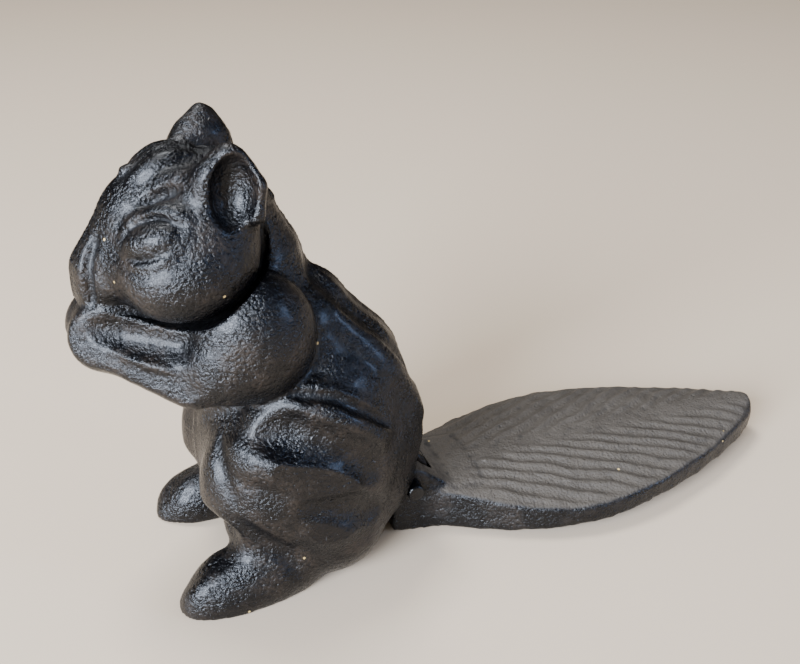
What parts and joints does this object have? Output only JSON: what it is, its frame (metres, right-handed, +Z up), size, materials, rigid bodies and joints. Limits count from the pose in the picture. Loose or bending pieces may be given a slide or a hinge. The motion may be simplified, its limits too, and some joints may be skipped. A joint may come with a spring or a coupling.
{
  "type": "lever nutcracker",
  "caption": "Seated squirrel nutcracker: the leaf-shaped tail is a lever that hinges up to crack a nut against a hollow in the back.",
  "frame": {"origin": "on the table, at the centre of the footprint of squirrel and lowered tail", "axes": "+X from the nose to the tip of the tail, -Y the squirrel's left side, +Z up"},
  "size_m": [0.2154, 0.064, 0.127],
  "materials": {
    "painted_iron_body": "black paint, half gloss, over rough sand-cast iron",
    "painted_iron_tail": "black paint worn dull on top, over rough sand-cast iron",
    "painted_steel_pin": "black paint over a plain steel pin"
  },
  "bodies": {
    "squirrel": {"body_casting": "painted_iron_body", "hinge_pin": "painted_steel_pin"},
    "tail": {"tail_lever": "painted_iron_tail"}
  },
  "joints": [
    {"name": "tail_hinge", "type": "hinge", "parent": "squirrel", "child": "tail", "pos_m": [-0.02025, 0, 0.0165], "axis": [0, -1, 0], "range_deg": [0, 75]}
  ]
}
